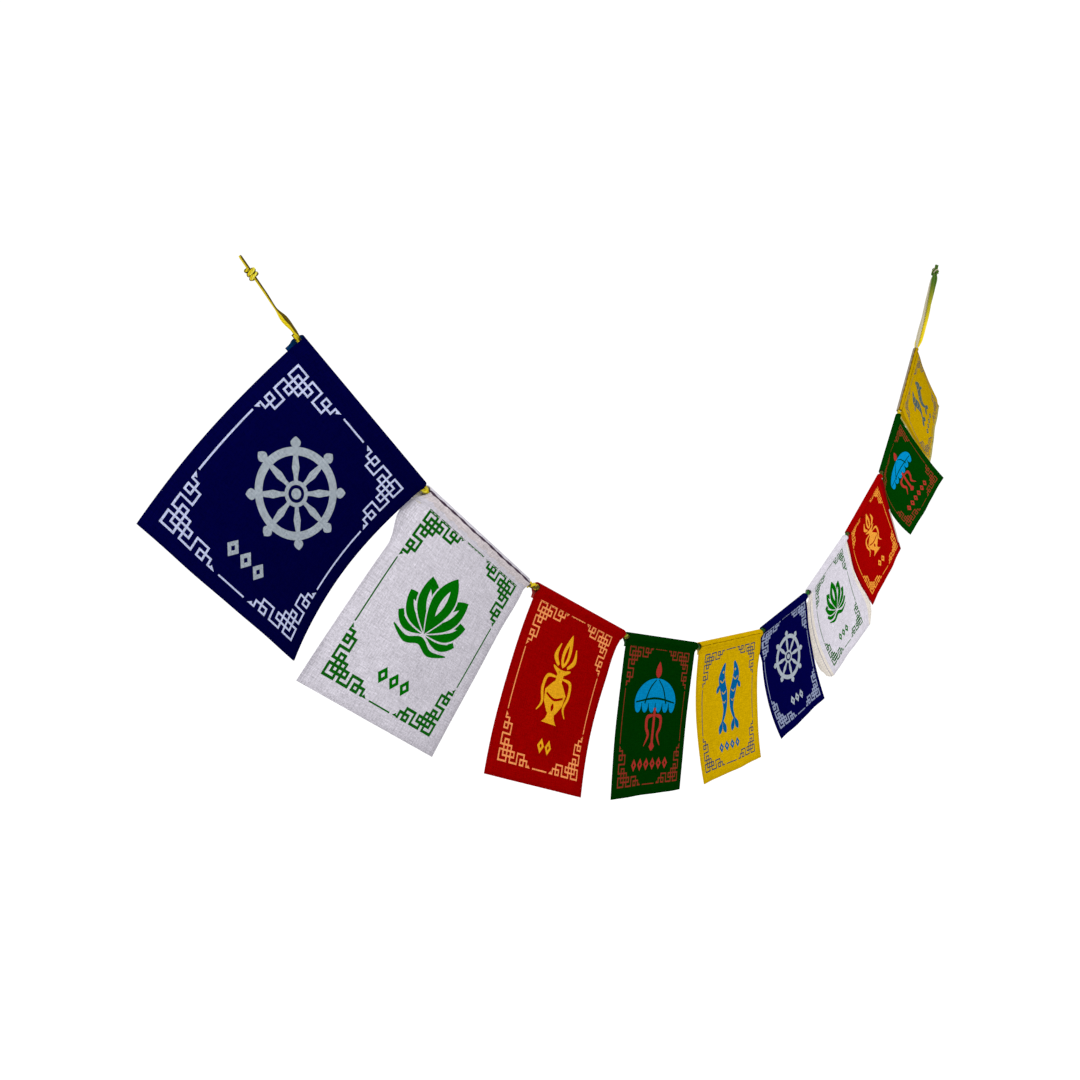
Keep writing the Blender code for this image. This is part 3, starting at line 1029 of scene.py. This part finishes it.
def cord_stations(hems):
    """The cord's stations from end to end: place, radius, length of lay, flags passed."""
    left_way = (LEFT_KNOT - LEFT_ROUTE[0][0]).normalized()
    right_way = (RIGHT_KNOT - RIGHT_ROUTE[-1][0]).normalized()
    stations = [
        (LEFT_KNOT + left_way * LEFT_TAIL[0], LEFT_TAIL[1], LEFT_LAY, 0.0),
        (LEFT_KNOT + left_way * LEFT_TAIL_START, LEFT_TAIL[1], LEFT_LAY, 0.0),
        (LEFT_KNOT, LEFT_TAIL[1], LEFT_LAY, 0.0),
    ]
    stations += [(place, radius, LEFT_LAY, 0.0) for place, radius in LEFT_ROUTE]
    for flag in hems:
        inset = min(3.0, flag["width"] / 8.0)
        before = flag["number"] - 1.0
        after = min(float(flag["number"]), RIGHT_PASSED[0])
        lay = LEFT_LAY if before == 0.0 else HEM_LAY
        radius = FIRST_RADIUS if before == 0.0 else CORD_RADIUS
        stations += [
            (flag["start"], radius, lay, before),
            (flag["start"] + flag["along"] * inset, radius, lay, before),
            (flag["end"] - flag["along"] * inset, CORD_RADIUS, HEM_LAY, after),
            (flag["end"], CORD_RADIUS, HEM_LAY, after),
        ]
    stations += [
        (place, radius, RIGHT_LAY, passed)
        for (place, radius), passed in zip(RIGHT_ROUTE, RIGHT_PASSED)
    ]
    stations += [
        (RIGHT_KNOT, RIGHT_KNOT_CORE, RIGHT_LAY, 10.0),
        (RIGHT_KNOT + right_way * RIGHT_TAIL_START, RIGHT_TAIL[1], RIGHT_LAY, 10.0),
        (RIGHT_KNOT + right_way * RIGHT_TAIL[0], RIGHT_TAIL[1], RIGHT_LAY, 10.0),
    ]
    return stations


def knot_coil(knot, way, core, coil, passed):
    """Stations of the strands wrapped round the cord at an end knot."""
    side = way.orthogonal().normalized()
    other = way.cross(side)
    stations = []
    steps = int(COIL_TURNS * 10)
    for step in range(steps + 1):
        share = step / steps
        angle = 2.0 * math.pi * COIL_TURNS * share
        reach = core + coil
        if step in (0, steps):
            reach = core * CLOSED_END
        along = (share - 0.5) * COIL_TURNS * 2.0 * coil * 1.04
        place = knot + way * along + (side * math.cos(angle) + other * math.sin(angle)) * reach
        stations.append((place, coil, HEM_LAY, passed))
    return stations


def yarn_at(strand, passed):
    """The strand's colour where this many flags have been passed."""
    low = min(int(passed), len(STRANDS[strand]) - 2)
    share = ease(min(1.0, max(0.0, (passed - low - 0.25) * 2.0)))
    return mixed(YARNS[STRANDS[strand][low]], YARNS[STRANDS[strand][low + 1]], share)


def lay_strands(line, last_turn, mesh_parts):
    """Add three strands laid round a line to the parts of one mesh.

    last_turn, where given, is the part of a turn that the lay ends with at the right end.
    """
    places = np.array([tuple(item[0]) for item in line])
    radii = np.array([item[1] for item in line])
    lays = np.array([item[2] for item in line])
    tangents = np.gradient(places, axis=0)
    tangents /= np.linalg.norm(tangents, axis=1)[:, None]
    level = np.cross(tangents, (0.0, 1.0, 0.0))
    level /= np.linalg.norm(level, axis=1)[:, None]
    upright = np.cross(level, tangents)
    runs = np.concatenate(([0.0], np.cumsum(np.linalg.norm(np.diff(places, axis=0), axis=1))))
    turns = np.concatenate(([0.0], np.cumsum(np.diff(runs) / lays[1:])))
    if last_turn is not None:
        reached = next(index for index, item in enumerate(line) if item[2] == RIGHT_LAY)
        wanted = round(turns[reached]) + last_turn - FIRST_TURN
        turns = turns * wanted / turns[reached]
    for strand in range(len(STRANDS)):
        angles = 2.0 * np.pi * (turns + FIRST_TURN + strand / len(STRANDS))
        out = level * np.cos(angles)[:, None] + upright * np.sin(angles)[:, None]
        thick = STRAND_SHARE * radii
        thick = thick * (1.0 + 0.07 * np.sin(runs * 1.3 + 2.0 * strand))
        centres = places + out * (radii - thick)[:, None]
        ways = np.gradient(centres, axis=0)
        ways /= np.linalg.norm(ways, axis=1)[:, None]
        around = np.cross(ways, out)
        around /= np.linalg.norm(around, axis=1)[:, None]
        first = np.cross(around, ways)
        add_tube(mesh_parts, centres, thick, first, around, runs,
                 [yarn_at(strand, item[3]) for item in line])


def add_tube(parts, centres, thick, first, second, runs, colours):
    """Add a closed round tube to the parts: places, faces, lengthwise measures, colours."""
    base = len(parts["places"])
    count = len(centres)
    for ring in range(count):
        size = thick[ring]
        if ring in (0, count - 1):
            size *= CLOSED_END
        for side in range(STRAND_SIDES):
            angle = 2.0 * math.pi * side / STRAND_SIDES
            place = centres[ring] + size * (
                first[ring] * math.cos(angle) + second[ring] * math.sin(angle)
            )
            parts["places"].append(tuple(place * MM))
            parts["colours"].append((*colours[ring], 1.0))
    for ring in range(count - 1):
        for side in range(STRAND_SIDES):
            follow = (side + 1) % STRAND_SIDES
            corner = base + ring * STRAND_SIDES
            parts["faces"].append((
                corner + side, corner + follow,
                corner + STRAND_SIDES + follow, corner + STRAND_SIDES + side,
            ))
            near = runs[ring] / 10.0
            far = runs[ring + 1] / 10.0
            parts["lengths"] += [
                (near, side / STRAND_SIDES), (near, (side + 1) / STRAND_SIDES),
                (far, (side + 1) / STRAND_SIDES), (far, side / STRAND_SIDES),
            ]
    last = base + (count - 1) * STRAND_SIDES
    parts["faces"].append(tuple(base + side for side in reversed(range(STRAND_SIDES))))
    parts["faces"].append(tuple(last + side for side in range(STRAND_SIDES)))
    parts["lengths"] += [(0.0, side / STRAND_SIDES) for side in range(2 * STRAND_SIDES)]


def make_cord(hems, material):
    """The twisted cord from tail to tail, with a coiled knot near each end."""
    stations = cord_stations(hems)
    line = smooth_line(stations)
    parts = {"places": [], "faces": [], "lengths": [], "colours": []}
    lay_strands(line, LAST_TURN, parts)
    for knot, near, (core, coil, spacing), passed in (
        (LEFT_KNOT, LEFT_ROUTE[0][0], LEFT_COIL, 0.0),
        (RIGHT_KNOT, RIGHT_ROUTE[-1][0], RIGHT_COIL, 10.0),
    ):
        wrapped = knot_coil(knot, (knot - near).normalized(), core, coil, passed)
        lay_strands(smooth_line(wrapped, spacing), None, parts)
    mesh = bpy.data.meshes.new("twisted_cord")
    mesh.from_pydata(parts["places"], [], parts["faces"])
    lengths = mesh.uv_layers.new(name="yarn")
    lengths.data.foreach_set("uv", np.array(parts["lengths"]).ravel())
    dye = mesh.color_attributes.new("dye", "FLOAT_COLOR", "POINT")
    dye.data.foreach_set("color", np.array(parts["colours"]).ravel())
    mesh.materials.append(material)
    mesh.shade_smooth()
    return add_object("twisted_cord", mesh), line


# Materials

def maths(tree, operation, *values):
    """A Math node's result from sockets or numbers."""
    node = tree.nodes.new("ShaderNodeMath")
    node.operation = operation
    for socket, value in zip(node.inputs, values):
        if isinstance(value, bpy.types.NodeSocket):
            tree.links.new(value, socket)
        else:
            socket.default_value = value
    return node.outputs["Value"]


def plus(tree, first, second):
    """Two values added."""
    return maths(tree, "ADD", first, second)


def times(tree, first, second):
    """Two values multiplied."""
    return maths(tree, "MULTIPLY", first, second)


def scaled(tree, colour, amount):
    """A colour made lighter or darker by an amount."""
    node = tree.nodes.new("ShaderNodeVectorMath")
    node.operation = "SCALE"
    tree.links.new(colour, node.inputs["Vector"])
    tree.links.new(amount, node.inputs["Scale"])
    return node.outputs["Vector"]


def raise_relief(tree, shader, height, strength, distance):
    """Let a height roughen the shader's surface."""
    bump = tree.nodes.new("ShaderNodeBump")
    bump.inputs["Strength"].default_value = strength
    bump.inputs["Distance"].default_value = distance
    tree.links.new(height, bump.inputs["Height"])
    tree.links.new(bump.outputs["Normal"], shader.inputs["Normal"])


def matt_material(name, roughness=0.9, specular=0.0):
    """A new material with little or no shine, with its nodes and its shader."""
    material = bpy.data.materials.new(name)
    material.use_nodes = True
    tree = material.node_tree
    shader = tree.nodes["Principled BSDF"]
    shader.inputs["Roughness"].default_value = roughness
    shader.inputs["Specular IOR Level"].default_value = specular
    return material, tree, shader


def blend(tree, share, first, second):
    """A colour between two, each a socket or three numbers."""
    node = tree.nodes.new("ShaderNodeMix")
    node.data_type = "RGBA"
    node.clamp_factor = True
    for name, value in (("Factor_Float", share), ("A_Color", first), ("B_Color", second)):
        socket = next(item for item in node.inputs if item.identifier == name)
        if isinstance(value, bpy.types.NodeSocket):
            tree.links.new(value, socket)
        elif isinstance(value, float):
            socket.default_value = value
        else:
            socket.default_value = (*value, 1.0)
    return next(item for item in node.outputs if item.identifier == "Result_Color")


def noise(tree, vector, scale, detail, stretch=(1.0, 1.0, 1.0)):
    """Noise along the cloth or yarn, drawn out where stretch is small."""
    mapping = tree.nodes.new("ShaderNodeMapping")
    mapping.inputs["Scale"].default_value = stretch
    tree.links.new(vector, mapping.inputs["Vector"])
    node = tree.nodes.new("ShaderNodeTexNoise")
    node.inputs["Scale"].default_value = scale
    node.inputs["Detail"].default_value = detail
    tree.links.new(mapping.outputs["Vector"], node.inputs["Vector"])
    return node.outputs["Fac"]


THREAD_PITCH = 0.56
# How bright each flag's cloth is at its left and its right: partly its dye lot, partly painted
# light and shade from side to side
DYE_LOTS_AND_PAINTED_LIGHT = (
    (1.00, 0.72), (1.06, 0.84), (1.02, 0.98), (1.04, 1.00), (1.05, 1.08),
    (1.14, 1.20), (1.08, 1.10), (1.22, 1.18), (1.65, 1.55), (0.94, 0.72),
)


def make_weave():
    """A node group for plain weave: the threads' height, and their uneven tone."""
    group = bpy.data.node_groups.new("plain weave", "ShaderNodeTree")
    group.interface.new_socket("Cloth", in_out="INPUT", socket_type="NodeSocketVector")
    group.interface.new_socket("Height", in_out="OUTPUT", socket_type="NodeSocketFloat")
    group.interface.new_socket("Tone", in_out="OUTPUT", socket_type="NodeSocketFloat")
    given = group.nodes.new("NodeGroupInput")
    result = group.nodes.new("NodeGroupOutput")
    cloth = given.outputs["Cloth"]
    parts = group.nodes.new("ShaderNodeSeparateXYZ")
    group.links.new(cloth, parts.inputs["Vector"])
    wander = noise(group, cloth, 60.0, 2.0)
    threads = math.pi * 100.0 / THREAD_PITCH
    shift = times(group, wander, 4.0)
    warp, weft = (
        maths(group, "SINE", plus(group, times(group, parts.outputs[way], threads), shift))
        for way in ("X", "Y")
    )
    over = times(group, times(group, warp, weft), 0.42)
    upright = times(group, maths(group, "ABSOLUTE", warp),
                    plus(group, 0.58, over))
    level = times(group, maths(group, "ABSOLUTE", weft),
                  maths(group, "SUBTRACT", 0.58, over))
    height = maths(group, "MAXIMUM", upright, level)
    slub_up = noise(group, cloth, 150.0, 3.0, (1.0, 0.10, 1.0))
    slub_across = noise(group, cloth, 150.0, 3.0, (0.10, 1.0, 1.0))
    fading = noise(group, cloth, 5.0, 3.0)
    grain = noise(group, cloth, 120.0, 2.0)
    tone = plus(group, times(group, slub_up, 0.58),
                 times(group, slub_across, 0.58))
    tone = plus(group, tone, times(group, fading, 0.20))
    tone = plus(group, tone, times(group, grain, 0.80))
    tone = maths(group, "SUBTRACT", tone, 0.08)
    group.links.new(height, result.inputs["Height"])
    group.links.new(tone, result.inputs["Tone"])
    return group


def make_cotton(name, weave, dye, ground=None, cover=0.0):
    """Matt woven cotton in one dye, or ink that leaves specks of the ground bare."""
    material, tree, shader = matt_material(name)
    cloth = tree.nodes.new("ShaderNodeUVMap")
    cloth.uv_map = "weave"
    threads = tree.nodes.new("ShaderNodeGroup")
    threads.node_tree = weave
    tree.links.new(cloth.outputs["UV"], threads.inputs["Cloth"])
    height = threads.outputs["Height"]
    # The weave's pits are painted darker: painted shade between the threads
    colour = blend(tree, times(tree, height, 1.25),
                   [part * 0.62 for part in dye], dye)
    if ground is not None:
        specks = noise(tree, cloth.outputs["UV"], 170.0, 2.0)
        print_share = plus(tree, times(tree, specks, 2.4), cover)
        print_share = plus(tree, print_share, times(tree, height, 0.5))
        print_share = maths(tree, "MINIMUM", maths(tree, "MAXIMUM", print_share, 0.45), 1.0)
        colour = blend(tree, print_share, ground, colour)
    # Scaled by the flag's dye lot and by painted light and shade from side to side
    depth = tree.nodes.new("ShaderNodeAttribute")
    depth.attribute_name = "dye lot and painted light"
    dye_and_painted_light = depth.outputs["Fac"]
    if ground is not None:
        dye_and_painted_light = plus(tree, times(tree, dye_and_painted_light, 0.35), 0.65)
    toned = scaled(tree, colour, times(tree, threads.outputs["Tone"], dye_and_painted_light))
    tree.links.new(toned, shader.inputs["Base Color"])
    rough = maths(tree, "SUBTRACT", 1.0, times(tree, height, 0.16))
    tree.links.new(rough, shader.inputs["Roughness"])
    raise_relief(tree, shader, height, 0.55, 0.00012)
    return material


def mixed(first, second, share):
    """A colour part of the way from one to another."""
    return tuple(a + (b - a) * share for a, b in zip(first, second))


def make_cloth_materials(weave):
    """For each colour of flag, the materials of its front and then of its back."""
    sets = {}
    for colour, dyes in DYES.items():
        front, back = [], []
        ground = dyes["ground"]
        for surface in SURFACES:
            name = f"{colour} {surface}"
            if surface == "bare":
                bare = dyes["bare"]
                front.append(make_cotton(name, weave, bare))
                back.append(make_cotton(f"{name} back", weave, mixed(bare, dyes["back"], 0.2)))
            elif surface == "ground":
                front.append(make_cotton(f"{colour} cotton", weave, ground))
                back.append(make_cotton(f"{colour} cotton back", weave, dyes["back"]))
            # Painted shade: half way from the dye to its crease colour
            elif surface == "painted shade":
                front.append(make_cotton(name, weave, mixed(ground, dyes["line"], 0.5)))
                back.append(make_cotton(f"{name} back", weave, dyes["back"]))
            # The line's colour is painted shade in creases and folds
            elif surface in ("line", "tint"):
                front.append(make_cotton(name, weave, dyes[surface]))
                back.append(make_cotton(f"{name} back", weave, dyes["back"]))
            else:
                front.append(make_cotton(
                    f"{name} ink", weave, dyes[surface], ground, dyes["cover"],
                ))
                ghost = mixed(dyes["back"], dyes[surface], GHOST)
                back.append(make_cotton(f"{name} ink seen through", weave, ghost))
        sets[colour] = front + back
    return sets


def make_threads():
    """Matt sewing thread to match each colour of cloth."""
    threads = {}
    for colour, dyes in DYES.items():
        material, tree, shader = matt_material(f"{colour} thread")
        place = tree.nodes.new("ShaderNodeTexCoord")
        fibres = noise(tree, place.outputs["Object"], 2500.0, 2.0)
        ground = dyes["ground"]
        darker = [part * 0.75 for part in ground]
        lighter = [min(0.8, part * 1.3) for part in ground]
        tree.links.new(blend(tree, fibres, darker, lighter), shader.inputs["Base Color"])
        threads[colour] = material
    return threads


def make_yarn():
    """Soft yarn in the colours its mesh carries, with fibres that wind round each strand."""
    material, tree, shader = matt_material("twisted yarn", specular=0.1)
    shader.inputs["Sheen Weight"].default_value = 0.08
    dye = tree.nodes.new("ShaderNodeVertexColor")
    dye.layer_name = "dye"
    lengths = tree.nodes.new("ShaderNodeUVMap")
    lengths.uv_map = "yarn"
    parts = tree.nodes.new("ShaderNodeSeparateXYZ")
    tree.links.new(lengths.outputs["UV"], parts.inputs["Vector"])
    wander = noise(tree, lengths.outputs["UV"], 30.0, 2.0)
    lay = plus(tree, times(tree, parts.outputs["X"], 42.0),
                times(tree, parts.outputs["Y"], 8.0 * math.pi))
    lay = plus(tree, lay, times(tree, wander, 3.0))
    fibres = times(tree, plus(tree, maths(tree, "SINE", lay), 1.0), 0.5)
    fine = noise(tree, lengths.outputs["UV"], 24.0, 4.0, (1.0, 12.0, 1.0))
    height = plus(tree, times(tree, fibres, 0.7),
                   times(tree, fine, 0.6))
    # The grooves between the fibres are painted darker: painted shade
    tone = plus(tree, times(tree, height, 0.62), 0.50)
    tree.links.new(scaled(tree, dye.outputs["Color"], tone), shader.inputs["Base Color"])
    raise_relief(tree, shader, height, 0.8, 0.0002)
    return material


# Stage

FLOOR_REACH = 8.0
FLOOR_LEVEL = -1.1
ROOM_FRONT = 0.60
ROOM_BACK = 1.06
# Lamps: name, watts, size, place, and what it is turned to
LAMPS = (
    ("left lamp", 1.3, 0.35, (-0.45, -0.50, 0.25), (0.08, 0.0, -0.10)),
    ("right lamp", 3.2, 0.50, (0.95, -0.75, 0.40), (0.62, 0.0, -0.05)),
)


def set_camera():
    """The camera at the photograph's place."""
    lens = bpy.data.cameras.new("camera")
    lens.sensor_width = SENSOR
    lens.lens = LENS
    lens.clip_start = 0.01
    camera = add_object("camera", lens)
    camera.location = CAMERA_PLACE
    camera.rotation_euler = [math.radians(turn) for turn in CAMERA_TURN]
    bpy.context.scene.camera = camera


def set_stage():
    """A wide pale floor, an even bright room, a soft sun and two soft lamps."""
    mesh = bpy.data.meshes.new("floor")
    corners = [(x * FLOOR_REACH, y * FLOOR_REACH, FLOOR_LEVEL)
               for x, y in ((-1, -1), (1, -1), (1, 1), (-1, 1))]
    mesh.from_pydata(corners, [], [(0, 1, 2, 3)])
    floor = add_object("floor", mesh)
    paper, _, shader = matt_material("floor paper", roughness=1.0)
    shader.inputs["Base Color"].default_value = (0.95, 0.95, 0.95, 1.0)
    shader.inputs["Emission Color"].default_value = (1.0, 1.0, 1.0, 1.0)
    shader.inputs["Emission Strength"].default_value = 0.15
    mesh.materials.append(paper)
    bpy.context.scene.world = make_room()
    sun = bpy.data.lights.new("soft sun", "SUN")
    sun.angle = math.radians(50.0)
    sun.energy = 0.55
    place_light(sun, (-0.9, -0.8, 1.6), (0.3, 0.0, -0.1))
    for name, energy, size, place, aim in LAMPS:
        lamp = bpy.data.lights.new(name, "AREA")
        lamp.size = size
        lamp.energy = energy
        place_light(lamp, place, aim)
    bpy.context.scene.view_settings.view_transform = "Standard"


def place_light(light, place, aim):
    """Put a light at a place and turn it to what it lights."""
    source = add_object(light.name, light)
    source.location = place
    source.rotation_euler = (Vector(aim) - Vector(place)).to_track_quat("-Z", "Y").to_euler()


def make_room():
    """Even light all round, dimmer in front of the flags than behind them."""
    world = bpy.data.worlds.new("room")
    world.use_nodes = True
    tree = world.node_tree
    way = tree.nodes.new("ShaderNodeTexCoord")
    parts = tree.nodes.new("ShaderNodeSeparateXYZ")
    tree.links.new(way.outputs["Generated"], parts.inputs["Vector"])
    dim = tree.nodes.new("ShaderNodeMapRange")
    dim.inputs["From Min"].default_value = -0.30
    dim.inputs["From Max"].default_value = 0.10
    dim.inputs["To Min"].default_value = ROOM_FRONT
    dim.inputs["To Max"].default_value = ROOM_BACK
    tree.links.new(parts.outputs["Y"], dim.inputs["Value"])
    tree.links.new(dim.outputs["Result"], tree.nodes["Background"].inputs["Strength"])
    tree.nodes["Background"].inputs["Color"].default_value = (1.0, 1.0, 1.0, 1.0)
    return world


def main():
    """Dress the string."""
    set_camera()
    hems = lay_out_hems()
    cord, line = make_cord(hems, make_yarn())
    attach(cord, BODY)
    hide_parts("cord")
    weave = make_weave()
    materials = make_cloth_materials(weave)
    threads = make_threads()
    row = make_stitch_row()
    for flag in hems:
        node = f"flag_{flag['number']:02d}_{flag['colour']}"
        flag["name"] = f"flag_{flag['number']:02d}_cloth"
        cloth = make_flag(flag, materials[flag["colour"]])
        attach(cloth, BODY)
        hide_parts(node)
        stitches = make_stitches(flag, row, threads[flag["colour"]])
        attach(stitches, BODY)
        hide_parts(node)
    set_stage()


main()
